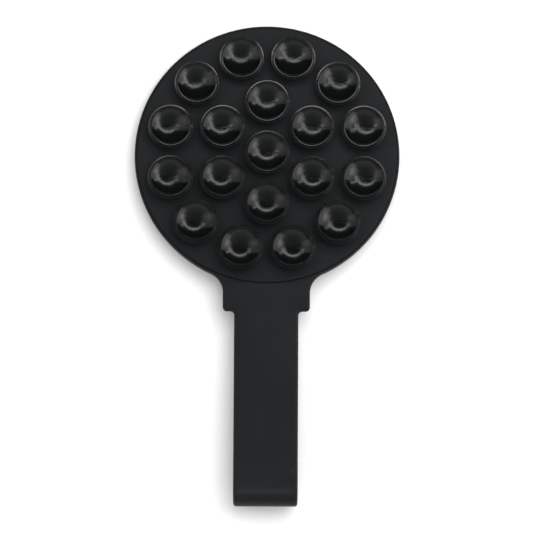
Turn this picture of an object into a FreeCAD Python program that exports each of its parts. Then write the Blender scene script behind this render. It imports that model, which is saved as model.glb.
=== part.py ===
"""Suction-cup pad on a hooked paddle, as a parametric FreeCAD document.

Millimetres, +Z up. The origin is the centre of the paddle's flat back. The cups face +Z, and the
strap runs along -Y to a U-shaped hook that turns back underneath it.
"""

import FreeCAD, Part
import Sketcher
import math
import os

DIMENSIONS = [
    # alias, value in mm (or a count), what it is
    ("disc_diameter", 75.4, "round end of the paddle"),
    ("paddle_thickness", 2.8, "the same all over the paddle"),
    ("neck_width", 24.7, "short wide tab between disc and strap"),
    ("neck_end", 45.0, "end of the neck, from the disc's centre"),
    ("neck_blend", 6.0, "hollow corners between disc and neck"),
    ("neck_corner", 1.2, "outer corners of the neck"),
    ("strap_corner", 1.2, "hollow corners between neck and strap"),
    ("strap_width", 18.2, "flat strap and hook"),
    ("strap_overlap", 5.0, "length of strap that is one with the neck"),
    ("bend_centre", 94.7, "centre of the hook's bend, from the disc's centre"),
    ("bend_outer", 5.4, "outside radius of the hook's bend"),
    ("arm_length", 31.0, "free arm of the hook, from the bend's centre"),
    ("arm_corner", 5.0, "rounded corners at the arm's tip"),
    ("edge_round", 0.4, "rounding along the paddle's edges"),
    ("tray_diameter", 74.2, "recess that takes the pad"),
    ("tray_depth", 1.0, "depth of that recess"),
    ("core_thickness", 0.8, "spring-steel strip inside the paddle"),
    ("core_width", 11.0, "strip inside the strap and hook"),
    ("core_head_diameter", 30.0, "round head of the strip, under the pad"),
    ("core_blend", 3.0, "hollow corners between head and strip"),
    ("core_corner", 2.0, "corners at the strip's end"),
    ("core_end_gap", 4.0, "the strip stops this far short of the arm's tip"),
    ("peg_diameter", 4.0, "pegs of the paddle that fill the head's holes"),
    ("peg_circle_diameter", 18.0, "circle of the pegs"),
    ("peg_count", 5, "pegs round that circle"),
    ("bond_thickness", 0.2, "adhesive between tray and pad"),
    ("bond_diameter", 72.4, "disc of adhesive"),
    ("pad_diameter", 74.0, "silicone sheet that carries the cups"),
    ("pad_thickness", 1.3, "sheet without its cups"),
    ("pad_edge_round", 0.45, "rounding of the sheet's top edge"),
    ("inner_ring_radius", 14.65, "ring of six cups"),
    ("outer_ring_radius", 28.4, "ring of twelve cups"),
    ("cup_height", 4.0, "from the sheet to the crest of a rim"),
    ("cup_crest_radius", 5.72, "crest of the rim, where a cup seals"),
    ("cup_lip_radius", 6.4, "outside of the thin lip below the crest"),
    ("cup_lip_drop", 0.5, "from the crest down to the lip"),
    ("cup_lip_thickness", 0.35, "lip at its edge"),
    ("cup_bowl_depth", 2.3, "from the crest down to the bowl's floor"),
    ("cup_foot_radius", 3.3, "round foot of a cup on the sheet"),
    ("cup_foot_height", 0.7, "straight part of the foot"),
    ("cup_flare_radius", 5.0, "hollow curve from the foot out to the lip"),
]

INNER_CUP_COUNT = 6
OUTER_CUP_COUNT = 12

START, END, CENTRE = 1, 2, 3  # a sketch line's or arc's points
ORIGIN = (-1, START)  # a sketch's own origin
VERTICAL_AXIS = -2

CLOSE = 1e-3  # mm between two places that are one, and mm3 that a cut removes at the least
SQUARE_ON = 0.9  # share of a direction along an axis, above which it faces along that axis


def vector(x, y, z=0.0):
    return FreeCAD.Vector(x, y, z)


def make_sheet(doc):
    """The spreadsheet of driving dimensions: name, value and meaning, one to a row."""
    sheet = doc.addObject("Spreadsheet::Sheet", "sizes")
    for row, (alias, value, meaning) in enumerate(DIMENSIONS, start=1):
        sheet.set(f"A{row}", alias)
        sheet.set(f"B{row}", str(value))
        sheet.set(f"C{row}", meaning)
        sheet.setAlias(f"B{row}", alias)
    doc.recompute()
    return sheet


def sized(expression):
    """The expression with each dimension's alias read from the spreadsheet."""
    words = expression.split()
    aliases = {alias for alias, _, _ in DIMENSIONS}
    return " ".join(f"sizes.{word}" if word in aliases else word for word in words)


def value_of(item, expression):
    """What an expression on the dimensions comes to now, in mm."""
    return float(item.evalExpression(sized(expression)))


def new_body(doc, name, x="0", y="0", z="0"):
    """An empty body whose place follows three expressions."""
    body = doc.addObject("PartDesign::Body", name)
    body.Label = name
    for axis, expression in (("x", x), ("y", y), ("z", z)):
        body.setExpression(f"Placement.Base.{axis}", sized(expression))
    return body


def new_sketch(body, name, role, lift="0"):
    """A sketch on one of the body's own origin planes, lifted off it along its normal."""
    plane = next(item for item in body.Origin.OriginFeatures if item.Role == role)
    sketch = body.newObject("Sketcher::SketchObject", name)
    sketch.AttachmentSupport = (plane, [""])
    sketch.MapMode = "FlatFace"
    sketch.setExpression("AttachmentOffset.Base.z", sized(lift))
    return sketch


def drive(sketch, kind, points, expression):
    """A dimension of the sketch that follows an expression."""
    value = value_of(sketch, expression)
    number = sketch.addConstraint(Sketcher.Constraint(kind, *points, value))
    sketch.renameConstraint(number, f"size_{number}")
    sketch.setExpression(f"Constraints.size_{number}", sized(expression))


def tie(sketch, kind, *points):
    """A geometric constraint of the sketch, such as Coincident or Tangent."""
    sketch.addConstraint(Sketcher.Constraint(kind, *points))


def add_circle(sketch, diameter):
    """A circle round the sketch's origin."""
    radius = value_of(sketch, diameter) / 2
    circle = sketch.addGeometry(Part.Circle(vector(0, 0), vector(0, 0, 1), radius))
    tie(sketch, "Coincident", circle, CENTRE, *ORIGIN)
    drive(sketch, "Diameter", (circle,), diameter)
    return circle


def add_line(sketch, start, end):
    return sketch.addGeometry(Part.LineSegment(vector(*start), vector(*end)))


def add_arc(sketch, centre, radius, start_angle, end_angle):
    """An arc that runs anticlockwise from start_angle to end_angle, in degrees."""
    circle = Part.Circle(vector(*centre), vector(0, 0, 1), radius)
    angles = (math.radians(start_angle), math.radians(end_angle))
    return sketch.addGeometry(Part.ArcOfCircle(circle, *angles))


def extrude(body, sketch, length, kind="Pad", symmetric=False):
    """Pads or pockets a sketch by an expression."""
    feature = body.newObject(f"PartDesign::{kind}", f"{sketch.Name}_{kind.lower()}")
    feature.Profile = sketch
    feature.Midplane = symmetric
    feature.setExpression("Length", sized(length))
    body.Document.recompute()
    return feature


def round_edges(body, name, radius, wanted):
    """Fillets the edges of the body's newest feature for which wanted(edge) is true."""
    base = body.Tip
    edges = [f"Edge{i}" for i, edge in enumerate(base.Shape.Edges, start=1) if wanted(edge)]
    if not edges:
        raise RuntimeError(f"{name} found no edges")
    fillet = body.newObject("PartDesign::Fillet", name)
    fillet.Base = (base, edges)
    fillet.setExpression("Radius", sized(radius))
    body.Document.recompute()
    return fillet


def stands_at(edge, x, y):
    """Whether an edge stands along Z at (+x, y) or (-x, y)."""
    if len(edge.Vertexes) != 2:
        return False
    first, last = (vertex.Point for vertex in edge.Vertexes)
    upright = math.hypot(first.x - last.x, first.y - last.y) < CLOSE
    return upright and abs(abs(first.x) - x) < CLOSE and abs(first.y - y) < CLOSE


def draw_hook(sketch, start, outer, inner, arm):
    """The side view of a strip that runs straight to the bend, round it and back along the arm.

    The sketch's first axis is the row's Y and its second is Z. start is how far from the disc's
    centre the strip begins, outer and inner are the bend's radii, and arm is the arm's length.
    """
    begin = -value_of(sketch, start)
    bend = -value_of(sketch, "bend_centre")
    height = value_of(sketch, "paddle_thickness - bend_outer")
    far, near = value_of(sketch, outer), value_of(sketch, inner)
    tip = bend + value_of(sketch, arm)
    top = add_line(sketch, (begin, height + far), (bend, height + far))
    outer_arc = add_arc(sketch, (bend, height), far, 90, 270)
    below = add_line(sketch, (bend, height - far), (tip, height - far))
    tip_face = add_line(sketch, (tip, height - far), (tip, height - near))
    above = add_line(sketch, (tip, height - near), (bend, height - near))
    inner_arc = add_arc(sketch, (bend, height), near, 90, 270)
    under = add_line(sketch, (bend, height + near), (begin, height + near))
    begin_face = add_line(sketch, (begin, height + near), (begin, height + far))
    tie(sketch, "Tangent", top, END, outer_arc, START)
    tie(sketch, "Tangent", outer_arc, END, below, START)
    tie(sketch, "Coincident", below, END, tip_face, START)
    tie(sketch, "Coincident", tip_face, END, above, START)
    tie(sketch, "Tangent", above, END, inner_arc, END)
    tie(sketch, "Tangent", inner_arc, START, under, START)
    tie(sketch, "Coincident", under, END, begin_face, START)
    tie(sketch, "Coincident", begin_face, END, top, START)
    tie(sketch, "Coincident", outer_arc, CENTRE, inner_arc, CENTRE)
    for line in (top, below, above, under):
        tie(sketch, "Horizontal", line)
    for line in (tip_face, begin_face):
        tie(sketch, "Vertical", line)
    drive(sketch, "Radius", (outer_arc,), outer)
    drive(sketch, "Radius", (inner_arc,), inner)
    drive(sketch, "DistanceX", (outer_arc, CENTRE, *ORIGIN), "bend_centre")
    drive(sketch, "DistanceY", (outer_arc, CENTRE, *ORIGIN), "bend_outer - paddle_thickness")
    drive(sketch, "DistanceX", (top, START, *ORIGIN), start)
    drive(sketch, "DistanceX", (outer_arc, CENTRE, tip_face, START), arm)


def draw_neck(sketch):
    """A rectangle from the disc's centre down to the neck's end."""
    half = value_of(sketch, "neck_width / 2")
    low = -value_of(sketch, "neck_end")
    corners = [(-half, 0), (-half, low), (half, low), (half, 0)]
    sides = [add_line(sketch, corners[i], corners[(i + 1) % 4]) for i in range(4)]
    for i in range(4):
        tie(sketch, "Coincident", sides[i], END, sides[(i + 1) % 4], START)
    left, bottom, right, top = sides
    for line in (left, right):
        tie(sketch, "Vertical", line)
    tie(sketch, "Horizontal", top)
    tie(sketch, "PointOnObject", top, START, ORIGIN[0])
    tie(sketch, "Symmetric", bottom, START, bottom, END, VERTICAL_AXIS)
    drive(sketch, "DistanceX", (bottom, START, bottom, END), "neck_width")
    drive(sketch, "DistanceY", (bottom, START, *ORIGIN), "neck_end")


def is_broad(face):
    """Whether a face of the paddle is part of its front or back, bends included."""
    if isinstance(face.Surface, Part.Cylinder):
        return abs(face.Surface.Axis.x) > SQUARE_ON
    return abs(face.normalAt(0, 0).z) > SQUARE_ON


def make_paddle_blank(doc):
    """The moulding without the space that its steel core fills."""
    body = new_body(doc, "paddle_blank")
    disc = new_sketch(body, "disc", "XY_Plane")
    add_circle(disc, "disc_diameter")
    extrude(body, disc, "paddle_thickness")
    neck = new_sketch(body, "neck", "XY_Plane")
    draw_neck(neck)
    extrude(body, neck, "paddle_thickness")
    strap = new_sketch(body, "strap", "YZ_Plane")
    draw_hook(strap, "neck_end - strap_overlap", "bend_outer", "bend_outer - paddle_thickness", "arm_length")
    extrude(body, strap, "strap_width", symmetric=True)

    neck_half = value_of(body, "neck_width / 2")
    strap_half = value_of(body, "strap_width / 2")
    neck_low = -value_of(body, "neck_end")
    meets_disc = -math.sqrt(value_of(body, "disc_diameter / 2") ** 2 - neck_half**2)
    arm_tip = value_of(body, "arm_length - bend_centre")
    round_edges(body, "neck_blends", "neck_blend", lambda edge: stands_at(edge, neck_half, meets_disc))
    round_edges(body, "neck_corners", "neck_corner", lambda edge: stands_at(edge, neck_half, neck_low))
    round_edges(body, "strap_corners", "strap_corner", lambda edge: stands_at(edge, strap_half, neck_low))
    round_edges(body, "arm_corners", "arm_corner", lambda edge: stands_at(edge, strap_half, arm_tip))

    shape = body.Tip.Shape
    round_edges(
        body,
        "soft_edges",
        "edge_round",
        lambda edge: sum(map(is_broad, shape.ancestorsOfType(edge, Part.Face))) == 1,
    )
    tray = new_sketch(body, "tray", "XY_Plane", lift="paddle_thickness")
    add_circle(tray, "tray_diameter")
    before = body.Tip.Shape.Volume
    extrude(body, tray, "tray_depth", kind="Pocket")
    check_removed("tray", before, body.Tip.Shape.Volume)
    return body


def make_spring_core(doc):
    """The steel strip that keeps the hook's shape, with a perforated round head in the disc."""
    body = new_body(doc, "spring_core")
    floor = "paddle_thickness - tray_depth - core_thickness"
    head = new_sketch(body, "core_head", "XY_Plane", lift=floor)
    add_circle(head, "core_head_diameter")
    extrude(body, head, "core_thickness")
    strip = new_sketch(body, "core_strip", "YZ_Plane")
    margin = "( paddle_thickness - core_thickness ) / 2"
    outer = f"bend_outer - {margin}"
    draw_hook(strip, "peg_diameter", outer, f"{outer} - core_thickness", "arm_length - core_end_gap")
    extrude(body, strip, "core_width", symmetric=True)

    half = value_of(body, "core_width / 2")
    meets_head = -math.sqrt(value_of(body, "core_head_diameter / 2") ** 2 - half**2)
    tip = value_of(body, "arm_length - core_end_gap - bend_centre")
    round_edges(body, "core_blends", "core_blend", lambda edge: stands_at(edge, half, meets_head))
    round_edges(body, "core_corners", "core_corner", lambda edge: stands_at(edge, half, tip))

    hole = new_sketch(body, "peg_hole", "XY_Plane", lift="paddle_thickness - tray_depth")
    radius = value_of(hole, "peg_diameter / 2")
    reach = value_of(hole, "peg_circle_diameter / 2")
    circle = hole.addGeometry(Part.Circle(vector(0, reach), vector(0, 0, 1), radius))
    tie(hole, "PointOnObject", circle, CENTRE, VERTICAL_AXIS)
    drive(hole, "Diameter", (circle,), "peg_diameter")
    drive(hole, "DistanceY", (*ORIGIN, circle, CENTRE), "peg_circle_diameter / 2")
    before = body.Tip.Shape.Volume
    pocket = extrude(body, hole, "core_thickness", kind="Pocket")
    pattern = body.newObject("PartDesign::PolarPattern", "peg_holes")
    pattern.Originals = [pocket]
    pattern.Axis = (hole, ["N_Axis"])
    pattern.Angle = 360
    pattern.setExpression("Occurrences", sized("peg_count"))
    body.Tip = pattern
    doc.recompute()
    check_removed("peg_holes", before, body.Tip.Shape.Volume)
    return body


def make_paddle(doc, blank, core):
    """The moulding as it is round its core: the head's holes leave pegs standing."""
    paddle = doc.addObject("Part::Cut", "paddle")
    paddle.Label = "paddle"
    paddle.Base = blank
    paddle.Tool = core
    doc.recompute()
    check_removed("core space", blank.Shape.Volume, paddle.Shape.Volume)
    return paddle


def make_bond(doc):
    """The thin disc of adhesive between the tray and the silicone sheet."""
    body = new_body(doc, "adhesive_disc", z="paddle_thickness - tray_depth")
    sketch = new_sketch(body, "bond", "XY_Plane")
    add_circle(sketch, "bond_diameter")
    extrude(body, sketch, "bond_thickness")
    return body


def make_pad_sheet(doc):
    """The silicone sheet that lies in the tray and stands a little proud of it."""
    body = new_body(doc, "pad_sheet", z="paddle_thickness - tray_depth + bond_thickness")
    sketch = new_sketch(body, "sheet_outline", "XY_Plane")
    add_circle(sketch, "pad_diameter")
    extrude(body, sketch, "pad_thickness")
    top = value_of(body, "pad_thickness")
    round_edges(body, "sheet_edge", "pad_edge_round", lambda edge: edge.BoundBox.ZMin > top - CLOSE)
    return body


def draw_cup(sketch):
    """Half of a cup's section: the sketch's first axis is the radius and its second is height."""
    names = ("foot_radius", "foot_height", "lip_radius", "crest_radius", "height", "flare_radius")
    foot, foot_top, lip, crest, height, flare = (value_of(sketch, f"cup_{name}") for name in names)
    lip_top = value_of(sketch, "cup_height - cup_lip_drop")
    lip_low = value_of(sketch, "cup_height - cup_lip_drop - cup_lip_thickness")
    depth = value_of(sketch, "cup_bowl_depth")
    floor = height - depth
    bowl = (crest**2 + depth**2) / (2 * depth)

    base = add_line(sketch, (0, 0), (foot, 0))
    side = add_line(sketch, (foot, 0), (foot, foot_top))
    run, rise = lip - foot, lip_low - foot_top
    chord = math.hypot(run, rise)
    offset = math.sqrt(flare**2 - chord**2 / 4)
    centre = (foot + run / 2 + offset * rise / chord, foot_top + rise / 2 - offset * run / chord)
    from_lip = math.degrees(math.atan2(lip_low - centre[1], lip - centre[0]))
    from_foot = math.degrees(math.atan2(foot_top - centre[1], foot - centre[0]))
    flank = add_arc(sketch, centre, flare, from_lip, from_foot)
    edge = add_line(sketch, (lip, lip_low), (lip, lip_top))
    slope = add_line(sketch, (lip, lip_top), (crest, height))
    inside = add_arc(sketch, (0, floor + bowl), bowl, 270, 270 + math.degrees(math.asin(crest / bowl)))
    axis = add_line(sketch, (0, floor), (0, 0))

    tie(sketch, "Coincident", base, START, *ORIGIN)
    tie(sketch, "Coincident", base, END, side, START)
    tie(sketch, "Coincident", side, END, flank, END)
    tie(sketch, "Coincident", flank, START, edge, START)
    tie(sketch, "Coincident", edge, END, slope, START)
    tie(sketch, "Coincident", slope, END, inside, END)
    tie(sketch, "Coincident", inside, START, axis, START)
    tie(sketch, "Coincident", axis, END, *ORIGIN)
    tie(sketch, "Horizontal", base)
    for line in (side, edge, axis):
        tie(sketch, "Vertical", line)
    tie(sketch, "PointOnObject", inside, CENTRE, VERTICAL_AXIS)
    drive(sketch, "DistanceX", (base, START, base, END), "cup_foot_radius")
    drive(sketch, "DistanceY", (side, START, side, END), "cup_foot_height")
    drive(sketch, "Radius", (flank,), "cup_flare_radius")
    drive(sketch, "DistanceX", (*ORIGIN, edge, START), "cup_lip_radius")
    drive(sketch, "DistanceY", (edge, START, edge, END), "cup_lip_thickness")
    drive(sketch, "DistanceY", (slope, START, slope, END), "cup_lip_drop")
    drive(sketch, "DistanceX", (*ORIGIN, slope, END), "cup_crest_radius")
    drive(sketch, "DistanceY", (*ORIGIN, slope, END), "cup_height")
    drive(sketch, "DistanceY", (inside, START, inside, END), "cup_bowl_depth")


def make_cup(doc, number, ring, angle):
    """One suction cup, standing on the sheet. ring is its ring's radius as an expression."""
    body = new_body(
        doc,
        f"suction_cup_{number:02d}",
        x=f"{ring} * cos({angle} deg)",
        y=f"{ring} * sin({angle} deg)",
        z="paddle_thickness - tray_depth + bond_thickness + pad_thickness",
    )
    sketch = new_sketch(body, f"cup_section_{number:02d}", "XZ_Plane")
    draw_cup(sketch)
    bell = body.newObject("PartDesign::Revolution", f"cup_bell_{number:02d}")
    bell.Profile = sketch
    bell.ReferenceAxis = (sketch, ["V_Axis"])
    bell.Angle = 360
    doc.recompute()
    return body


def make_cups(doc):
    """One cup in the middle, a ring of six and a ring of twelve set half a step round."""
    places = [("0", 0)]
    places += [("inner_ring_radius", 90 - i * 360 / INNER_CUP_COUNT) for i in range(INNER_CUP_COUNT)]
    outer_step = 360 / OUTER_CUP_COUNT
    places += [("outer_ring_radius", 90 - outer_step * (i + 0.5)) for i in range(OUTER_CUP_COUNT)]
    return [make_cup(doc, number, *place) for number, place in enumerate(places, start=1)]


def check_removed(name, before, after):
    """A cut that removes nothing shows no error of its own."""
    if not after < before - CLOSE:
        raise RuntimeError(f"{name} removed nothing")


def check_document(doc, parts):
    """Every object computed, and every part is one or more valid solids."""
    for item in doc.Objects:
        if {"Invalid", "Error"} & set(item.State):
            raise RuntimeError(f"{item.Name} failed: {item.State}")
    for part in parts:
        shape = part.Shape
        if shape.isNull() or not shape.isValid() or not shape.Solids:
            raise RuntimeError(f"{part.Label} has no valid solid")


def main():
    doc = FreeCAD.newDocument("suction_paddle")
    make_sheet(doc)
    blank = make_paddle_blank(doc)
    core = make_spring_core(doc)
    parts = [make_paddle(doc, blank, core), core, make_bond(doc), make_pad_sheet(doc)]
    parts += make_cups(doc)
    doc.recompute()
    check_document(doc, parts)
    os.makedirs("parts", exist_ok=True)
    for part in parts:
        part.Shape.exportStep(f"parts/{part.Label}.step")
        print(f"{part.Label}: {part.Shape.Volume:.2f} mm3")


main()
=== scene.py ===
"""Looks of a suction-cup holder: a black paddle with a pad of small cups and a hanging hook.

Everything is in metres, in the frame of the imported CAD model: +Z is the cups' side, and the strap
runs along -Y to the hook.
"""

import math

import bmesh
import bpy
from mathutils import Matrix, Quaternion, Vector
from mathutils.geometry import delaunay_2d_cdt


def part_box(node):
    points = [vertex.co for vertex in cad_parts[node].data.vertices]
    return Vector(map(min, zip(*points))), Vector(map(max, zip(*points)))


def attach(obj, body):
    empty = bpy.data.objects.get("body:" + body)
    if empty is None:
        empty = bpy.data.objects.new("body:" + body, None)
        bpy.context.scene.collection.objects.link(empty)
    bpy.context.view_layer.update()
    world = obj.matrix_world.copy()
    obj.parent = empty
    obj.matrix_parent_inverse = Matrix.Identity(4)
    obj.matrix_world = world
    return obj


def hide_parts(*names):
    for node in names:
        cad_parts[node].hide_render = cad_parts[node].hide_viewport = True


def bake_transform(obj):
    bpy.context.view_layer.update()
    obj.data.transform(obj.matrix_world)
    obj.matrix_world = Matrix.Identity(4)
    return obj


bl_info = {
    "name": "Suction Cup Holder",
    "version": (1, 0, 0),
    "blender": (4, 5, 0),
    "location": "3D View > Sidebar > Holder",
    "description": "Builds a hooked paddle with a pad of suction cups round its CAD frame",
    "category": "Object",
}

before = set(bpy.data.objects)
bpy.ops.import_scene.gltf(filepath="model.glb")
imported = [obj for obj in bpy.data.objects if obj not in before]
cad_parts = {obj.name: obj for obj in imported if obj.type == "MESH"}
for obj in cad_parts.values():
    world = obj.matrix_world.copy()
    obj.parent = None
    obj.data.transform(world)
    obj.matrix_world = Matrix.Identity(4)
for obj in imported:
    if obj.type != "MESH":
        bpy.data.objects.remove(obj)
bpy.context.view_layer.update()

MM = 0.001
WELD = 0.0005 * MM  # points closer than this are one point
HOLDER = "holder"
CUP_NODES = sorted(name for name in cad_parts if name.startswith("suction_cup_"))

paddle_low, paddle_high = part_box("paddle")
sheet_low, sheet_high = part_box("pad_sheet")
bond_low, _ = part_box("adhesive_disc")
cup_low, cup_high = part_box(CUP_NODES[0])

DISC_RADIUS = paddle_high[1]
PADDLE_THICKNESS = paddle_high[2]
TRAY_FLOOR = bond_low[2]
SHEET_RADIUS = (sheet_high[0] - sheet_low[0]) / 2
SHEET_TOP = sheet_high[2]
CUP_HEIGHT = cup_high[2] - cup_low[2]
CUP_LIP_RADIUS = (cup_high[0] - cup_low[0]) / 2


# ---------------------------------------------------------------- sizes and colours


def length(name, description, default):
    return bpy.props.FloatProperty(
        name=name, description=description, default=default, precision=5, subtype="DISTANCE", unit="LENGTH"
    )


def colour(name, description, default):
    return bpy.props.FloatVectorProperty(
        name=name, description=description, default=default, size=3, min=0, max=1, subtype="COLOR"
    )


def angle(name, description, degrees):
    return bpy.props.FloatProperty(
        name=name, description=description, default=math.radians(degrees), subtype="ANGLE", unit="ROTATION"
    )


def fraction(name, description, default):
    return bpy.props.FloatProperty(
        name=name, description=description, default=default, min=0, max=1, subtype="FACTOR"
    )


class HOLDER_PG_paddle(bpy.types.PropertyGroup):
    neck_width: length("Neck width", "Width of the tab between disc and strap", 24.7 * MM)
    neck_end: length("Neck end", "From the disc's centre to the end of the neck", 45.0 * MM)
    neck_blend: length("Neck blend", "Radius of the hollow corners where the neck leaves the disc", 6.0 * MM)
    neck_corner: length("Neck corner", "Radius of the corners between neck and strap", 1.2 * MM)
    strap_width: length("Strap width", "Width of the strap and hook", 18.2 * MM)
    bend_radius: length("Bend radius", "Outside radius of the hook's bend", 5.4 * MM)
    arm_length: length("Arm length", "Free arm of the hook, from the bend's centre", 31.0 * MM)
    arm_corner: length("Arm corner", "Radius of the corners at the arm's tip", 5.0 * MM)
    edge_round: length("Edge rounding", "Rounding along the disc's edge", 0.40 * MM)
    strap_round: length("Strap rounding", "Rounding along the edges of the strap and hook", 0.85 * MM)
    seam_height: length("Mould seam", "How far the seam stands out round the edge", 0.04 * MM)
    tray_gap: length("Tray gap", "Gap between the pad and the wall of its recess", 0.1 * MM)
    rubber: colour("Rubber", "Colour of the moulded rubber", (0.0108, 0.0116, 0.0130))
    roughness: fraction("Roughness", "How matte the moulded rubber is", 0.38)
    grain: length("Grain", "Size of the rubber's moulded grain", 0.11 * MM)


class HOLDER_PG_pad(bpy.types.PropertyGroup):
    edge_round: length("Edge rounding", "Rounding of the sheet's top edge", 0.45 * MM)
    crest_radius: length("Crest radius", "Outside radius of a cup's sealing crest", 5.74 * MM)
    crest_width: length("Crest width", "Width of the sealing crest", 0.32 * MM)
    crest_slope: length("Crest slope", "How far the crest falls towards the bowl", 0.055 * MM)
    crest_step: length("Crest step", "Width of the slanting step from the crest to the lip", 0.14 * MM)
    lip_slope: length("Lip slope", "How far the lip falls from the crest to its edge", 0.035 * MM)
    lip_drop: length("Lip drop", "Height of the lip below the crest", 0.5 * MM)
    lip_thickness: length("Lip thickness", "Thickness of the lip at its edge", 0.35 * MM)
    bowl_depth: length("Bowl depth", "From the crest down to the bowl's floor", 2.1 * MM)
    foot_radius: length("Foot radius", "Radius of a cup's foot on the sheet", 3.3 * MM)
    foot_height: length("Foot height", "Height of the corner between foot and flare", 0.875 * MM)
    foot_weld: length("Foot weld", "Hollow curve where a cup's foot meets the sheet", 0.5 * MM)
    flare_radius: length("Flare radius", "Hollow curve from a cup's foot out to its lip", 5.0 * MM)
    silicone: colour("Silicone", "Colour of the matte sheet", (0.0102, 0.0110, 0.0124))
    roughness: fraction("Roughness", "How matte the sheet is", 0.50)
    grain: length("Grain", "Size of the sheet's grain", 0.09 * MM)
    gloss: colour("Cup gloss", "Colour of the polished bowls", (0.0016, 0.0022, 0.0025))


class HOLDER_PG_stage(bpy.types.PropertyGroup):
    floor_radius: length("Floor radius", "Radius of the pale floor", 0.6)
    paper: fraction("Paper", "Brightness of the floor's paper", 0.92)
    distance: length("Camera distance", "From the camera to the object", 1.4)
    view_width: length("View width", "Width of the picture at the object", 151.1 * MM)
    aim: length("Camera aim", "How far the picture's middle lies below the disc's centre", 32.05 * MM)
    roll: angle("Camera roll", "Turn of the camera about its line of sight", 0.3)
    lean: angle("Camera lean", "How far the camera leans towards the hook", 11.0)


# ---------------------------------------------------------------- node trees


class Wire:
    """A number in a node tree. Arithmetic on wires adds the Math nodes for it."""

    def __init__(self, board, socket):
        self.board = board
        self.socket = socket

    def math(self, operation, *values):
        inputs = dict(enumerate(values))
        return self.board.node("ShaderNodeMath", {"operation": operation}, inputs)

    def __add__(self, other):
        return self.math("ADD", self, other)

    def __radd__(self, other):
        return self.math("ADD", other, self)

    def __sub__(self, other):
        return self.math("SUBTRACT", self, other)

    def __rsub__(self, other):
        return self.math("SUBTRACT", other, self)

    def __mul__(self, other):
        return self.math("MULTIPLY", self, other)

    def __rmul__(self, other):
        return self.math("MULTIPLY", other, self)

    def __truediv__(self, other):
        return self.math("DIVIDE", self, other)

    def __rtruediv__(self, other):
        return self.math("DIVIDE", other, self)

    def __lt__(self, other):
        return self.math("LESS_THAN", self, other)

    def __gt__(self, other):
        return self.math("GREATER_THAN", self, other)

    def larger(self, other):
        return self.math("MAXIMUM", self, other)

    def cos(self):
        return self.math("COSINE", self)

    def sin(self):
        return self.math("SINE", self)

    def floor(self):
        return self.math("FLOOR", self)

    def remainder(self, other):
        return self.math("MODULO", self, other)


class Board:
    """A node tree that is being wired up."""

    def __init__(self, tree):
        self.tree = tree
        tree.nodes.clear()

    def node(self, kind, settings=None, inputs=None, output=0):
        """Adds a node: its settings first, then its inputs by name or number. Returns one output."""
        made = self.tree.nodes.new(kind)
        for name, value in (settings or {}).items():
            if name == "stops":
                self.set_stops(made.color_ramp, value)
            elif name == "items":
                for _ in range(value - len(made.index_switch_items)):
                    made.index_switch_items.new()
            else:
                setattr(made, name, value)
        for name, value in (inputs or {}).items():
            self.feed(made.inputs[name], value)
        return Wire(self, made.outputs[output]) if made.outputs else made

    def feed(self, socket, value):
        if isinstance(value, Wire):
            self.tree.links.new(value.socket, socket)
        else:
            socket.default_value = value

    def set_stops(self, ramp, stops):
        """A grey ramp from (position, brightness) pairs."""
        while len(ramp.elements) < len(stops):
            ramp.elements.new(0.5)
        for element, (position, brightness) in zip(ramp.elements, stops):
            element.position = position
            element.color = (brightness, brightness, brightness, 1)

    def ramp(self, value, *stops):
        return self.node("ShaderNodeValToRGB", {"stops": stops}, {0: value})

    def blend(self, factor, first, second):
        """A colour from first to second."""
        settings = {"data_type": "RGBA"}
        return self.node("ShaderNodeMix", settings, {0: factor, 6: first, 7: second}, output=2)

    def vector(self, x, y, z):
        return self.node("ShaderNodeCombineXYZ", None, {0: x, 1: y, 2: z})

    def noise(self, place, scale, detail):
        inputs = {"Vector": place, "Scale": scale, "Detail": detail, "Roughness": 0.5}
        return self.node("ShaderNodeTexNoise", {"noise_dimensions": "3D"}, inputs)


# ---------------------------------------------------------------- materials


def rgba(colour_value, strength=1.0):
    return (*(channel * strength for channel in colour_value), 1.0)


def start_material(name, viewport_colour):
    material = bpy.data.materials.new(name)
    material.use_nodes = True
    material.diffuse_color = rgba(viewport_colour)
    return material, Board(material.node_tree)


def finish_material(board, surface):
    board.node("ShaderNodeOutputMaterial", None, {"Surface": surface})


def bump(board, height, distance, strength, normal=None):
    inputs = {"Height": height, "Distance": distance, "Strength": strength}
    if normal is not None:
        inputs["Normal"] = normal
    return board.node("ShaderNodeBump", None, inputs)


def dust_specks(board, place, spacing, size, share):
    """A mask of sparse round specks: one cell in a few holds one."""
    inputs = {"Vector": place, "Scale": 1 / spacing, "Randomness": 1.0}
    distance = board.node("ShaderNodeTexVoronoi", {"voronoi_dimensions": "3D"}, inputs)
    cell = board.node("ShaderNodeTexVoronoi", {"voronoi_dimensions": "3D"}, inputs, output=1)
    chosen = board.node("ShaderNodeSeparateColor", None, {0: cell}) < share
    return (distance < size / spacing) * chosen


def matte_rubber(name, base, roughness, grain):
    """Moulded black rubber: an even fine grain, faint cloudiness and a few specks of dust."""
    material, board = start_material(name, base)
    place = board.node("ShaderNodeTexCoord", output="Object")
    clouds = board.noise(place, 1 / (14 * MM), detail=4)
    fine = board.noise(place, 1 / grain, detail=2)
    dust = dust_specks(board, place, 7 * MM, 0.16 * MM, 0.12)
    tone = board.ramp(clouds * 0.6 + fine * 0.4, (0.35, 0.0), (0.65, 1.0))
    body = board.blend(tone, rgba(base, 0.88), rgba(base, 1.12))
    coloured = board.blend(dust * 0.6, body, (0.16, 0.16, 0.15, 1))
    surface = board.node(
        "ShaderNodeBsdfPrincipled",
        None,
        {
            "Base Color": coloured,
            "Roughness": roughness + clouds * 0.08 + fine * 0.06 + dust * 0.3,
            "Specular IOR Level": 0.07,
            "Normal": bump(board, fine, 0.012 * MM, 0.5, bump(board, clouds, 0.03 * MM, 0.3)),
        },
    )
    finish_material(board, surface)
    return material


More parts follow.
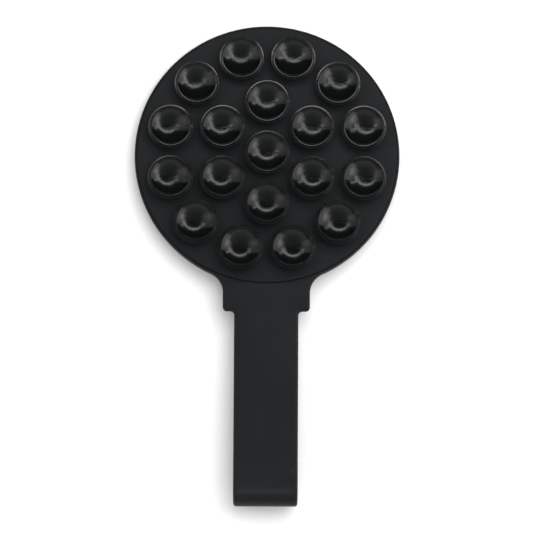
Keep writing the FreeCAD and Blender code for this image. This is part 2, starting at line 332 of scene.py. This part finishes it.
def polished_silicone(name, base):
    """A cup's silicone: mirror-like lip and bowl, with faint fan-shaped streaks, satin below the lip."""
    material, board = start_material(name, base)
    place = board.node("ShaderNodeTexCoord", output="Object")
    section = board.node("ShaderNodeAttribute", {"attribute_name": "section"}, output="Fac")
    turn = board.node("ShaderNodeAttribute", {"attribute_name": "turn"}, output="Fac") * math.tau
    polished = board.ramp(section, (0.29, 0.0), (0.35, 1.0))
    fan = board.vector(turn.cos() * 3, turn.sin() * 3, section * 1.2)
    shifted = board.node("ShaderNodeVectorMath", {"operation": "ADD"}, {0: fan, 1: place})
    streaks = board.noise(shifted, 1.6, detail=3)
    smears = board.noise(place, 1 / (2.2 * MM), detail=3)
    fine = board.noise(place, 1 / (0.12 * MM), detail=1)
    dust = dust_specks(board, place, 4.5 * MM, 0.12 * MM, 0.10)
    coloured = board.blend(dust * 0.7, rgba(base), (0.5, 0.5, 0.48, 1))
    satin = 0.28 + fine * 0.08
    shine = 0.10 + smears * 0.08 + streaks * 0.05
    surface = board.node(
        "ShaderNodeBsdfPrincipled",
        None,
        {
            "Base Color": coloured,
            "Roughness": satin + (shine - satin) * polished + dust * 0.4,
            "Specular IOR Level": 0.28,
            "Normal": bump(board, streaks, 0.10 * MM, 0.35, bump(board, smears, 0.05 * MM, 0.35)),
        },
    )
    finish_material(board, surface)
    return material


def spring_steel(name):
    """Cold-rolled strip: fine lines along its length and a faint straw tint."""
    material, board = start_material(name, (0.42, 0.42, 0.43))
    place = board.node("ShaderNodeTexCoord", output="Object")
    stretched = board.node("ShaderNodeMapping", None, {"Vector": place, "Scale": (1, 0.03, 1)})
    lines = board.noise(stretched, 1 / (0.15 * MM), detail=3)
    tint = board.noise(place, 1 / (9 * MM), detail=2)
    surface = board.node(
        "ShaderNodeBsdfPrincipled",
        None,
        {
            "Base Color": board.blend(tint, (0.40, 0.40, 0.41, 1), (0.47, 0.45, 0.41, 1)),
            "Metallic": 1.0,
            "Roughness": 0.22 + lines * 0.18,
            "Normal": bump(board, lines, 0.004 * MM, 0.6),
        },
    )
    finish_material(board, surface)
    return material


def silicone_adhesive(name):
    """A thin milky bond with small trapped bubbles."""
    material, board = start_material(name, (0.5, 0.5, 0.48))
    place = board.node("ShaderNodeTexCoord", output="Object")
    bubbles = dust_specks(board, place, 1.4 * MM, 0.35 * MM, 0.3)
    clouds = board.noise(place, 1 / (6 * MM), detail=3)
    milky = board.blend(clouds, (0.46, 0.46, 0.44, 1), (0.58, 0.58, 0.55, 1))
    surface = board.node(
        "ShaderNodeBsdfPrincipled",
        None,
        {
            "Base Color": board.blend(bubbles * 0.5, milky, (0.8, 0.8, 0.78, 1)),
            "Roughness": 0.38 + clouds * 0.1,
            "Normal": bump(board, bubbles, 0.02 * MM, 0.5),
        },
    )
    finish_material(board, surface)
    return material


def studio_white(name, brightness):
    """The pale floor: white paper with a barely visible tooth."""
    material, board = start_material(name, (brightness,) * 3)
    place = board.node("ShaderNodeTexCoord", output="Object")
    tooth = board.noise(place, 1 / (0.6 * MM), detail=2)
    paper = board.blend(tooth, (brightness * 0.995,) * 3 + (1,), (brightness,) * 3 + (1,))
    inputs = {"Base Color": paper, "Roughness": 0.9 + tooth * 0.05}
    surface = board.node("ShaderNodeBsdfPrincipled", None, inputs)
    finish_material(board, surface)
    return material


# ---------------------------------------------------------------- turned pieces by geometry nodes


def put_in_scene(name, mesh):
    piece = bpy.data.objects.new(name, mesh)
    bpy.context.scene.collection.objects.link(piece)
    return piece


def add_input(tree, name, kind, default=None):
    socket = tree.interface.new_socket(name, in_out="INPUT", socket_type=kind)
    if default is not None:
        socket.default_value = default


def rounded_outline(board, index, corners):
    """A curve through (radius, height, rounding, facets) corners, with each corner rounded."""
    picked = []
    for column, kind in enumerate(("FLOAT", "FLOAT", "FLOAT", "INT")):
        inputs = {0: index}
        inputs.update({i + 1: corner[column] for i, corner in enumerate(corners)})
        settings = {"data_type": kind, "items": len(corners)}
        picked.append(board.node("GeometryNodeIndexSwitch", settings, inputs))
    radius, height, rounding, facets = picked
    line = board.node("GeometryNodeMeshLine", None, {"Count": len(corners)})
    placed = board.vector(radius, 0.0, height)
    shaped = board.node("GeometryNodeSetPosition", None, {"Geometry": line, "Position": placed})
    curve = board.node("GeometryNodeMeshToCurve", None, {0: shaped})
    inputs = {"Curve": curve, "Count": facets, "Radius": rounding, "Limit Radius": True}
    return board.node("GeometryNodeFilletCurve", {"mode": "POLY"}, inputs)


def spun_outline(board, index, outline, facets_round, centre):
    """Turns an outline about an upright axis through centre.

    For the materials, each point keeps how far it is along the outline, as "section", and round
    the axis, as "turn", in shares of the whole.
    """
    rows = board.node("GeometryNodeAttributeDomainSize", {"component": "CURVE"}, {0: outline})
    inputs = {"Vertices X": facets_round + 1, "Vertices Y": rows}
    grid = board.node("GeometryNodeMeshGrid", None, inputs)
    row = index.remainder(rows)
    turn = (index / rows).floor() / facets_round
    position = board.node("GeometryNodeInputPosition")
    settings = {"data_type": "FLOAT_VECTOR", "domain": "POINT"}
    here = board.node("GeometryNodeSampleIndex", settings, {0: outline, 1: position, 2: row})
    reach = board.node("ShaderNodeSeparateXYZ", None, {0: here}, output=0)
    rise = board.node("ShaderNodeSeparateXYZ", None, {0: here}, output=2)
    heading = turn * math.tau
    spun = board.vector(reach * heading.cos(), reach * heading.sin(), rise)
    spun = board.node("ShaderNodeVectorMath", {"operation": "ADD"}, {0: spun, 1: centre})
    solid = board.node("GeometryNodeSetPosition", None, {"Geometry": grid, "Position": spun})
    for label, value in (("section", row / rows), ("turn", turn)):
        settings = {"data_type": "FLOAT", "domain": "POINT"}
        inputs = {"Geometry": solid, "Name": label, "Value": value}
        solid = board.node("GeometryNodeStoreNamedAttribute", settings, inputs)
    return board.node("GeometryNodeMergeByDistance", None, {"Geometry": solid, "Distance": WELD})


def turned_tree(name, sizes, draw_corners):
    """A tree that turns a rounded outline about an upright axis.

    sizes maps each named input to its default. draw_corners(size) gets those inputs as wires, and
    returns the outline's corners as (radius, height, rounding, facets), from the axis at the
    bottom to the axis at the top.
    """
    tree = bpy.data.node_groups.new(name, "GeometryNodeTree")
    for label, default in sizes.items():
        add_input(tree, label, "NodeSocketFloat", default)
    add_input(tree, "Facets round", "NodeSocketInt", 96)
    add_input(tree, "Centre", "NodeSocketVector")
    add_input(tree, "Material", "NodeSocketMaterial")
    tree.interface.new_socket("Geometry", in_out="OUTPUT", socket_type="NodeSocketGeometry")
    board = Board(tree)
    given = tree.nodes.new("NodeGroupInput")
    wires = {socket.name: Wire(board, socket) for socket in given.outputs if socket.name}
    index = board.node("GeometryNodeInputIndex")
    outline = rounded_outline(board, index, draw_corners(wires))
    solid = spun_outline(board, index, outline, wires["Facets round"], wires["Centre"])
    solid = board.node("GeometryNodeSetShadeSmooth", None, {"Geometry": solid})
    solid = board.node("GeometryNodeRealizeInstances", None, {"Geometry": solid})
    inputs = {"Geometry": solid, "Material": wires["Material"]}
    solid = board.node("GeometryNodeSetMaterial", None, inputs)
    board.node("NodeGroupOutput", None, {0: solid})
    return tree


def make_turned(name, tree, values):
    """Runs a tree and returns its result as a plain mesh object with outward faces."""
    carrier = put_in_scene(f"{name}_carrier", bpy.data.meshes.new(f"{name}_carrier"))
    modifier = carrier.modifiers.new("turned", "NODES")
    modifier.node_group = tree
    given = [item for item in tree.interface.items_tree if item.in_out == "INPUT"]
    sockets = {item.name: item.identifier for item in given}
    for label, value in values.items():
        modifier[sockets[label]] = value
    evaluated = carrier.evaluated_get(bpy.context.evaluated_depsgraph_get())
    mesh = bpy.data.meshes.new_from_object(evaluated)
    carrier.modifiers.remove(modifier)
    bpy.data.objects.remove(carrier)
    mesh.name = name
    shape = bmesh.new()
    shape.from_mesh(mesh)
    bmesh.ops.remove_doubles(shape, verts=shape.verts, dist=WELD)
    bmesh.ops.dissolve_degenerate(shape, edges=shape.edges, dist=0.0002 * MM)
    bmesh.ops.recalc_face_normals(shape, faces=shape.faces)
    shape.to_mesh(mesh)
    shape.free()
    return put_in_scene(name, mesh)


def cup_corners(size):
    """A cup's outline, from the middle of its foot, out along the flare and lip, to its bowl."""
    height = size["Height"]
    crest = size["Crest radius"]
    lip = size["Lip radius"]
    lip_top = height - size["Lip drop"]
    lip_low = lip_top - size["Lip thickness"]
    foot = size["Foot radius"]
    weld = size["Foot weld"]
    floor = height - size["Bowl depth"]
    rim = crest - size["Crest width"]
    rim_height = height - size["Crest slope"]
    sag = rim_height - floor
    bowl = (rim * rim + sag * sag) / (2 * sag)
    return [
        (0.0, 0.0, 0.0, 1),
        (foot + weld, 0.0, 0.0, 1),
        (foot, 0.0, weld, 6),
        (foot, size["Foot height"], size["Flare radius"], 14),
        # the lip, from its underside over its edge to its top
        (lip - 0.35 * MM, lip_low - 0.08 * MM, 0.6 * MM, 5),
        (lip, lip_low + 0.04 * MM, 0.10 * MM, 4),
        (lip, lip_top - size["Lip slope"], 0.14 * MM, 8),
        # the sealing crest, then the bowl in one arc
        (crest + size["Crest step"], lip_top, 0.10 * MM, 5),
        (crest, height, 0.12 * MM, 6),
        (rim, rim_height, 0.10 * MM, 6),
        (sag * bowl / rim, floor, bowl, 30),
        (0.0, floor, 0.0, 1),
    ]


def sheet_corners(size):
    """The silicone sheet's outline: a flat disc with a rounded top edge."""
    radius, height, rounding = size["Radius"], size["Height"], size["Rounding"]
    return [
        (0.0, 0.0, 0.0, 1),
        (radius - 0.1 * MM, 0.0, 0.08 * MM, 3),
        (radius, 0.1 * MM, 0.08 * MM, 3),
        (radius, height, rounding, 10),
        (radius * 0.97, height, 0.0, 1),
        (0.0, height, 0.0, 1),
    ]


# ---------------------------------------------------------------- the paddle


def arc(centre, radius, start, end, steps):
    """Points of an arc from start to end, in degrees, both ends included."""
    turns = [math.radians(start + (end - start) * i / steps) for i in range(steps + 1)]
    return [(centre[0] + radius * math.cos(t), centre[1] + radius * math.sin(t)) for t in turns]


class Strap:
    """The paddle laid out flat: y runs on past the bend's start, and fold() wraps it round."""

    def __init__(self, sizes):
        self.radius = sizes.bend_radius
        self.bend_y = paddle_low[1] + sizes.bend_radius
        self.bend_z = PADDLE_THICKNESS - sizes.bend_radius
        self.middle = sizes.bend_radius - PADDLE_THICKNESS / 2
        self.bend_length = math.pi * self.middle
        self.tip_y = self.bend_y - self.bend_length - sizes.arm_length

    def fold(self, x, y, z):
        """Where a point of the flat layout lies on the finished paddle."""
        along = self.bend_y - y
        if along <= 0:
            return Vector((x, y, z))
        reach = z - self.bend_z
        if along >= self.bend_length:
            return Vector((x, self.bend_y + along - self.bend_length, self.bend_z - reach))
        turned = along / self.middle
        return Vector((x, self.bend_y - reach * math.sin(turned), self.bend_z + reach * math.cos(turned)))


def half_outline(sizes, strap):
    """The right half of the paddle's flat outline, from the disc's top down to the bend."""
    neck, band = sizes.neck_width / 2, sizes.strap_width / 2
    blend, corner = sizes.neck_blend, sizes.neck_corner
    blend_x = neck + blend
    blend_y = -math.sqrt((DISC_RADIUS + blend) ** 2 - blend_x**2)
    meets = math.degrees(math.atan2(blend_y, blend_x))
    points = arc((0, 0), DISC_RADIUS, 90, meets, 150)
    points += arc((blend_x, blend_y), blend, meets + 180, 180, 20)
    points += arc((neck - corner, corner - sizes.neck_end), corner, 0, -90, 8)
    points += arc((band + corner, -sizes.neck_end - corner), corner, 90, 180, 8)
    lowest = points[-1][1]
    count = 16
    points += [(band, lowest + (strap.bend_y - lowest) * i / count) for i in range(1, count + 1)]
    return without_repeats(points)


def without_repeats(points):
    kept = points[:1]
    for point in points[1:]:
        if math.dist(point, kept[-1]) > 2 * WELD:
            kept.append(point)
    return kept


def arm_half(sizes, strap):
    """The right edge from the bend's start round the bend and along the arm to its tip."""
    band, corner = sizes.strap_width / 2, sizes.arm_corner
    bend_steps, arm_steps = 48, 12
    bend_end = strap.bend_y - strap.bend_length
    arm_end = strap.tip_y + corner
    bend_step = strap.bend_length / bend_steps
    arm_step = (arm_end - bend_end) / arm_steps
    points = [(band, strap.bend_y - bend_step * i) for i in range(1, bend_steps + 1)]
    points += [(band, bend_end + arm_step * i) for i in range(1, arm_steps)]
    points += arc((band - corner, arm_end), corner, 0, -88, 16)
    return points


def outward(points):
    """The outward direction at each point of a closed clockwise outline."""
    result = []
    for i, here in enumerate(points):
        before, after = points[i - 1], points[(i + 1) % len(points)]
        into = Vector((here[0] - before[0], here[1] - before[1])).normalized()
        out = Vector((after[0] - here[0], after[1] - here[1])).normalized()
        along = (into + out).normalized()
        result.append(Vector((-along.y, along.x)))
    return result


def edge_profile(sizes, y):
    """(inset, height) down the paddle's edge: a rounded edge, the mould's seam, a rounded edge."""
    share = min(max((-y - DISC_RADIUS) / (sizes.neck_end - DISC_RADIUS), 0), 1)
    rounding = sizes.edge_round + (sizes.strap_round - sizes.edge_round) * share
    thick = PADDLE_THICKNESS
    middle, seam = thick / 2, sizes.seam_height
    steps = 6
    upper = []
    for i in range(steps + 1):
        turn = math.pi / 2 * i / steps
        inset = seam + rounding * (1 - math.sin(turn))
        upper.append((inset, thick - rounding * (1 - math.cos(turn))))
    slopes = ((1.0, 3), (0.3, 1), (0.0, 0), (0.3, -1), (1.0, -3))
    ridge = [(seam * inset, middle + seam * rise) for inset, rise in slopes]
    lower = [(inset, thick - height) for inset, height in reversed(upper)]
    return upper + ridge + lower


def fill_flat(shape, rim, hole, upwards):
    """Fills the flat face inside rim, a list of (vertex, x, y), round an optional round hole."""
    corners = [(x, y) for _, x, y in rim]
    loops = [list(range(len(rim)))]
    if hole:
        corners += [(x, y) for _, x, y in hole]
        loops.append(list(range(len(rim), len(corners))))
    edges = [(loop[i - 1], loop[i]) for loop in loops for i in range(len(loop))]
    spots = [Vector(corner) for corner in corners]
    inside_only = 1
    nearest = 1e-9
    points, _, triangles, _, _, _ = delaunay_2d_cdt(spots, edges, loops[:1], inside_only, nearest)
    verts = [entry[0] for entry in rim + hole]
    # a triangle whose middle is nearer the centre than the hole's own points lies in the hole
    hole_reach = spots[-1].length * 0.9999 if hole else 0
    for triangle in triangles:
        middle = sum((points[i] for i in triangle), Vector((0, 0))) / 3
        if middle.length < hole_reach:
            continue
        ordered = triangle if upwards else list(reversed(triangle))
        shape.faces.new([verts[i] for i in ordered])


def join_rings(shape, rings):
    """Four-sided faces between neighbouring closed rings of vertices."""
    for upper, lower in zip(rings, rings[1:]):
        for i in range(len(upper)):
            j = (i + 1) % len(upper)
            shape.faces.new((upper[i], upper[j], lower[j], lower[i]))


def edge_rings(shape, sizes, strap, outline):
    """Rings of (vertex, flat x, flat y) down the paddle's edge, from the cups' side to the back."""
    directions = outward(outline)
    profiles = [edge_profile(sizes, y) for _, y in outline]
    rings = []
    for level in zip(*profiles):
        ring = []
        for (x, y), out, (inset, height) in zip(outline, directions, level):
            flat = (x - out.x * inset, y - out.y * inset)
            ring.append((shape.verts.new(strap.fold(*flat, height)), *flat))
        rings.append(ring)
    return rings


def cover_band(shape, strap, ring, first, last, height, upwards):
    """Covers the bend and the arm between the ring's two sides. Returns the first row across.

    Point i on the ring's right side has its mirror image at len(ring) - i.
    """
    columns = 14
    rows = []
    for i in range(first, last + 1):
        start, end = ring[i], ring[len(ring) - i]
        row = [start[0]]
        for k in range(1, columns):
            x = start[1] + (end[1] - start[1]) * k / columns
            row.append(shape.verts.new(strap.fold(x, start[2], height)))
        rows.append(row + [end[0]])
    for near, far in zip(rows, rows[1:]):
        for k in range(columns):
            corners = (near[k], near[k + 1], far[k + 1], far[k])
            shape.faces.new(corners if upwards else corners[::-1])
    return rows[0]


def make_paddle_mesh(sizes):
    """The moulding in one closed mesh: rounded edges with a seam, tray, neck, strap and hook."""
    strap = Strap(sizes)
    right = half_outline(sizes, strap)
    arm = arm_half(sizes, strap)
    mirror = [(-x, y) for x, y in reversed(right[1:] + arm)]
    shape = bmesh.new()
    rings = edge_rings(shape, sizes, strap, right + arm + mirror)
    join_rings(shape, [[entry[0] for entry in ring] for ring in rings])
    first = len(right) - 1
    last = first + len(arm)
    for ring, height, upwards in ((rings[0], PADDLE_THICKNESS, True), (rings[-1], 0.0, False)):
        across = cover_band(shape, strap, ring, first, last, height, upwards)
        crossing = [(vert, vert.co.x, ring[first][2]) for vert in across[1:-1]]
        rim = ring[: first + 1] + crossing + ring[len(ring) - first :]
        hole = make_tray(shape, sizes) if upwards else []
        fill_flat(shape, rim, hole, upwards)
    bmesh.ops.remove_doubles(shape, verts=shape.verts, dist=WELD)
    bmesh.ops.recalc_face_normals(shape, faces=shape.faces)
    mesh = bpy.data.meshes.new("paddle_moulding")
    shape.to_mesh(mesh)
    shape.free()
    return mesh


def make_tray(shape, sizes):
    """The round recess, with a softened mouth. Returns the mouth as (vertex, x, y)."""
    steps = 192
    soft = 0.10 * MM
    turns = [math.tau * i / steps for i in range(steps)]
    wall = SHEET_RADIUS + sizes.tray_gap
    levels = [
        (wall + soft, PADDLE_THICKNESS),
        (wall + soft * 0.3, PADDLE_THICKNESS - soft * 0.3),
        (wall, PADDLE_THICKNESS - soft),
        (wall, TRAY_FLOOR),
    ]
    rings = []
    for r, z in levels:
        rings.append([shape.verts.new((r * math.cos(t), r * math.sin(t), z)) for t in turns])
    join_rings(shape, rings)
    shape.faces.new(rings[-1])
    return [(vert, vert.co.x, vert.co.y) for vert in rings[0]]


def smooth_by_angle(mesh, degrees):
    """Smooth shading, with sharp edges where faces meet at more than the angle."""
    shape = bmesh.new()
    shape.from_mesh(mesh)
    for face in shape.faces:
        face.smooth = True
    for edge in shape.edges:
        edge.smooth = len(edge.link_faces) == 2 and edge.calc_face_angle(0) < math.radians(degrees)
    shape.to_mesh(mesh)
    shape.free()


# ---------------------------------------------------------------- operators


class HOLDER_OT_paddle(bpy.types.Operator):
    """Build the moulded paddle with its neck, strap and hook"""

    bl_idname = "holder.paddle"
    bl_label = "Moulded paddle"

    def execute(self, context):
        sizes = context.scene.holder_paddle
        mesh = make_paddle_mesh(sizes)
        smooth_by_angle(mesh, 35)
        mesh.materials.append(matte_rubber("moulded_rubber", sizes.rubber, sizes.roughness, sizes.grain))
        piece = put_in_scene("paddle_moulding", mesh)
        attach(piece, HOLDER)
        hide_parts("paddle")
        return {"FINISHED"}


class HOLDER_OT_sheet(bpy.types.Operator):
    """Build the round silicone sheet in the paddle's tray"""

    bl_idname = "holder.sheet"
    bl_label = "Silicone sheet"

    def execute(self, context):
        sizes = context.scene.holder_pad
        height = SHEET_TOP - sheet_low[2]
        defaults = {"Radius": SHEET_RADIUS, "Height": height, "Rounding": sizes.edge_round}
        tree = turned_tree("turned_sheet", defaults, sheet_corners)
        values = {
            "Facets round": 256,
            "Centre": (0, 0, sheet_low[2]),
            "Material": matte_rubber("matte_silicone", sizes.silicone, sizes.roughness, sizes.grain),
        }
        piece = make_turned("silicone_sheet", tree, values)
        smooth_by_angle(piece.data, 35)
        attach(piece, HOLDER)
        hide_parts("pad_sheet")
        return {"FINISHED"}


class HOLDER_OT_cups(bpy.types.Operator):
    """Build the suction cups, one turned piece for each cup of the CAD model"""

    bl_idname = "holder.cups"
    bl_label = "Suction cups"

    def execute(self, context):
        sizes = context.scene.holder_pad
        defaults = {
            "Height": CUP_HEIGHT,
            "Lip radius": CUP_LIP_RADIUS,
            "Crest radius": sizes.crest_radius,
            "Lip drop": sizes.lip_drop,
            "Lip thickness": sizes.lip_thickness,
            "Bowl depth": sizes.bowl_depth,
            "Foot radius": sizes.foot_radius,
            "Foot height": sizes.foot_height,
            "Foot weld": sizes.foot_weld,
            "Flare radius": sizes.flare_radius,
            "Crest slope": sizes.crest_slope,
            "Lip slope": sizes.lip_slope,
            "Crest step": sizes.crest_step,
            "Crest width": sizes.crest_width,
        }
        tree = turned_tree("turned_cup", defaults, cup_corners)
        silicone = polished_silicone("polished_silicone", sizes.gloss)
        for node in CUP_NODES:
            low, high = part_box(node)
            middle = (Vector(low) + Vector(high)) / 2
            foot = (middle.x, middle.y, low[2])
            values = {"Centre": foot, "Material": silicone}
            piece = make_turned(node.replace("suction_cup", "cup_bell"), tree, values)
            smooth_by_angle(piece.data, 50)
            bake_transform(piece)
            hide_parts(node)
        return {"FINISHED"}


class HOLDER_OT_inside(bpy.types.Operator):
    """Finish the steel core and the adhesive that the moulding hides"""

    bl_idname = "holder.inside"
    bl_label = "Hidden pieces"

    def execute(self, context):
        finishes = {
            "spring_core": spring_steel("cold_rolled_steel"),
            "adhesive_disc": silicone_adhesive("milky_bond"),
        }
        for node, material in finishes.items():
            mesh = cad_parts[node].data
            mesh.materials.clear()
            mesh.materials.append(material)
        return {"FINISHED"}


# ---------------------------------------------------------------- the stage

FLOOR_SHIFT = 30 * MM  # the floor's middle lies this far towards the hook
FLOOR_GAP = 0.02 * MM  # between the disc's far edge and the floor
KEY_SIZE = 0.8
KEY_POWER = 7.4
KEY_DISTANCE = 1.0
KEY_DIRECTION = (0.30, 0.15, 1)
# name, azimuth and angle from overhead in degrees, height, (length, width), brightness
PANELS = (
    ("arc_1", 160, 38.0, 98 * MM, (40 * MM, 32 * MM), 2.7),
    ("arc_2", 128, 34.0, 98 * MM, (33 * MM, 18 * MM), 6.1),
    ("arc_3", 98, 32.5, 98 * MM, (33 * MM, 16 * MM), 9.4),
    ("arc_4", 68, 33.5, 98 * MM, (33 * MM, 16 * MM), 9.4),
    ("arc_5", 39, 36.0, 98 * MM, (34 * MM, 18 * MM), 7.6),
    ("arc_6", 11, 39.5, 98 * MM, (38 * MM, 34 * MM), 5.0),
    ("arc_7", -17, 50.0, 98 * MM, (60 * MM, 66 * MM), 2.5),
    ("spur", 26, 52.0, 98 * MM, (18 * MM, 66 * MM), 5.4),
    ("window", -12, 67.0, 110 * MM, (310 * MM, 210 * MM), 1.9),
    ("side", 178, 58.0, 110 * MM, (170 * MM, 190 * MM), 0.9),
)
STRIP_TARGET = 4 * MM  # the strip light aims this far in from the bend's outermost line
STRIP_OFFSET = (0, -59 * MM, 98 * MM)
STRIP_SIZE = (50 * MM, 11 * MM)
STRIP_POWER = 0.0022
STRIP_SPREAD = 35  # degrees


class HOLDER_OT_stage(bpy.types.Operator):
    """Build the floor, the lights and the camera"""

    bl_idname = "holder.stage"
    bl_label = "Stage"

    def execute(self, context):
        sizes = context.scene.holder_stage
        add_floor(sizes)
        add_lights()
        add_camera(sizes)
        context.scene.view_settings.view_transform = "Standard"
        return {"FINISHED"}


def add_floor(sizes):
    """A pale disc that the object lies on: it touches the disc's far edge and the hook's arm."""
    paddle = bpy.context.scene.holder_paddle
    arm_tip = paddle_low[1] + paddle.bend_radius + paddle.arm_length
    slope = math.atan2(-paddle_low[2], DISC_RADIUS - arm_tip)
    far = Vector((0, DISC_RADIUS, -FLOOR_GAP))
    along = Vector((0, math.cos(slope), math.sin(slope)))
    steps = 128
    turns = [math.tau * i / steps for i in range(steps)]

    def corner(x, y):
        return shape.verts.new(far + Vector((x, 0, 0)) + along * (y - DISC_RADIUS - FLOOR_SHIFT))

    shape = bmesh.new()
    middle = corner(0, 0)
    loops = []
    for share in (1.0, 0.5, 0.25, 0.12):
        reach = sizes.floor_radius * share
        loops.append([corner(reach * math.cos(t), reach * math.sin(t)) for t in turns])
    join_rings(shape, loops)
    for i in range(steps):
        shape.faces.new((middle, loops[-1][i], loops[-1][(i + 1) % steps]))
    bmesh.ops.recalc_face_normals(shape, faces=shape.faces)
    mesh = bpy.data.meshes.new("stage_floor")
    shape.to_mesh(mesh)
    shape.free()
    mesh.materials.append(studio_white("studio_paper", sizes.paper))
    put_in_scene("stage_floor", mesh)


def add_panel_light(name, place, target, size, power, soft_only=False, gloss_only=False):
    """A rectangular studio light that faces its target."""
    data = bpy.data.lights.new(name, "AREA")
    data.shape = "RECTANGLE"
    data.size, data.size_y = size
    data.energy = power
    light = bpy.data.objects.new(name, data)
    light.location = place
    light.rotation_euler = (Vector(target) - Vector(place)).to_track_quat("-Z", "Y").to_euler()
    light.visible_camera = False
    light.visible_glossy = not soft_only
    light.visible_diffuse = not gloss_only
    bpy.context.scene.collection.objects.link(light)
    return light


def add_lights():
    """A broad soft key from the right, and small panels over the pad that only the gloss sees."""
    pad = Vector((0, 0, SHEET_TOP))
    place = pad + Vector(KEY_DIRECTION).normalized() * KEY_DISTANCE
    add_panel_light("key", place, pad, (KEY_SIZE, KEY_SIZE), KEY_POWER, soft_only=True)
    for name, azimuth, polar, height, size, brightness in PANELS:
        across = height * math.tan(math.radians(polar))
        turn = math.radians(azimuth)
        place = pad + Vector((across * math.cos(turn), across * math.sin(turn), height))
        power = brightness * math.pi * size[0] * size[1]
        add_panel_light(name, place, pad, size, power, gloss_only=True)
    bend = Vector((0, paddle_low[1] + STRIP_TARGET, 0))
    place = bend + Vector(STRIP_OFFSET)
    strip = add_panel_light("bend_strip", place, bend, STRIP_SIZE, STRIP_POWER, gloss_only=True)
    strip.data.spread = math.radians(STRIP_SPREAD)
    add_surroundings()


def add_surroundings():
    """White to the camera and even for soft light. The gloss sees a dark room, pale on the hook's side."""
    world = bpy.data.worlds.new("studio")
    bpy.context.scene.world = world
    world.use_nodes = True
    board = Board(world.node_tree)
    heading = board.node("ShaderNodeTexCoord", output="Generated")
    forward = board.node("ShaderNodeSeparateXYZ", None, {0: heading}, output="Y")
    upward = board.node("ShaderNodeSeparateXYZ", None, {0: heading}, output="Z")
    rising = board.ramp(upward, (0.0, 0.05), (0.34, 0.12), (0.52, 0.66), (0.74, 0.36), (1.0, 0.17))
    behind = board.ramp(0.5 + forward * 0.5, (0.47, 1.0), (0.63, 0.05))
    skyline = board.ramp(upward, (0.0, 0.4), (0.10, 0.0))
    dark = board.node("ShaderNodeBackground", None, {"Color": (0.05, 0.05, 0.05, 1)})
    pale = board.node("ShaderNodeBackground", None, {"Color": (1, 1, 1, 1), "Strength": 1.8})
    even = board.node("ShaderNodeBackground", None, {"Color": (0.89, 0.89, 0.89, 1)})
    seen = board.node("ShaderNodeBackground", None, {"Color": (1, 1, 1, 1), "Strength": 1.05})
    brightness = rising * behind.larger(skyline)
    gloss = board.node("ShaderNodeMixShader", None, {0: brightness, 1: dark, 2: pale})
    for_soft = board.node("ShaderNodeLightPath", output="Is Diffuse Ray")
    lit = board.node("ShaderNodeMixShader", None, {0: for_soft, 1: gloss, 2: even})
    for_camera = board.node("ShaderNodeLightPath", output="Is Camera Ray")
    surface = board.node("ShaderNodeMixShader", None, {0: for_camera, 1: lit, 2: seen})
    board.node("ShaderNodeOutputWorld", None, {"Surface": surface})


def add_camera(sizes):
    """A long lens that looks down on the pad and leans a little towards the hook."""
    data = bpy.data.cameras.new("studio_camera")
    camera = bpy.data.objects.new("studio_camera", data)
    bpy.context.scene.collection.objects.link(camera)
    back = Vector((0, -math.sin(sizes.lean), math.cos(sizes.lean)))
    aim = Vector((0, -sizes.aim, PADDLE_THICKNESS / 2))
    camera.location = aim + back * sizes.distance
    level = (-back).to_track_quat("-Z", "Y")
    camera.rotation_euler = (Quaternion(back, sizes.roll) @ level).to_euler()
    data.sensor_width = 36
    data.lens = data.sensor_width * sizes.distance / sizes.view_width
    data.clip_start, data.clip_end = 0.01, 20
    bpy.context.scene.camera = camera


class HOLDER_PT_panel(bpy.types.Panel):
    """Lists the holder's pieces and their sizes"""

    bl_label = "Suction cup holder"
    bl_idname = "HOLDER_PT_panel"
    bl_space_type = "VIEW_3D"
    bl_region_type = "UI"
    bl_category = "Holder"

    def draw(self, context):
        for group_name in GROUPS:
            box = self.layout.box()
            group = getattr(context.scene, group_name)
            for name in group.__annotations__:
                box.prop(group, name)
        for operator in OPERATORS:
            self.layout.operator(operator.bl_idname)


GROUPS = {
    "holder_paddle": HOLDER_PG_paddle,
    "holder_pad": HOLDER_PG_pad,
    "holder_stage": HOLDER_PG_stage,
}
OPERATORS = (HOLDER_OT_paddle, HOLDER_OT_sheet, HOLDER_OT_cups, HOLDER_OT_inside, HOLDER_OT_stage)
CLASSES = (*GROUPS.values(), *OPERATORS, HOLDER_PT_panel)


def register():
    for made in CLASSES:
        bpy.utils.register_class(made)
    for name, group in GROUPS.items():
        setattr(bpy.types.Scene, name, bpy.props.PointerProperty(type=group))


def unregister():
    for name in GROUPS:
        delattr(bpy.types.Scene, name)
    for made in reversed(CLASSES):
        bpy.utils.unregister_class(made)


def main():
    register()
    bpy.ops.holder.paddle()
    bpy.ops.holder.sheet()
    bpy.ops.holder.cups()
    bpy.ops.holder.inside()
    bpy.ops.holder.stage()


if __name__ == "__main__":
    main()
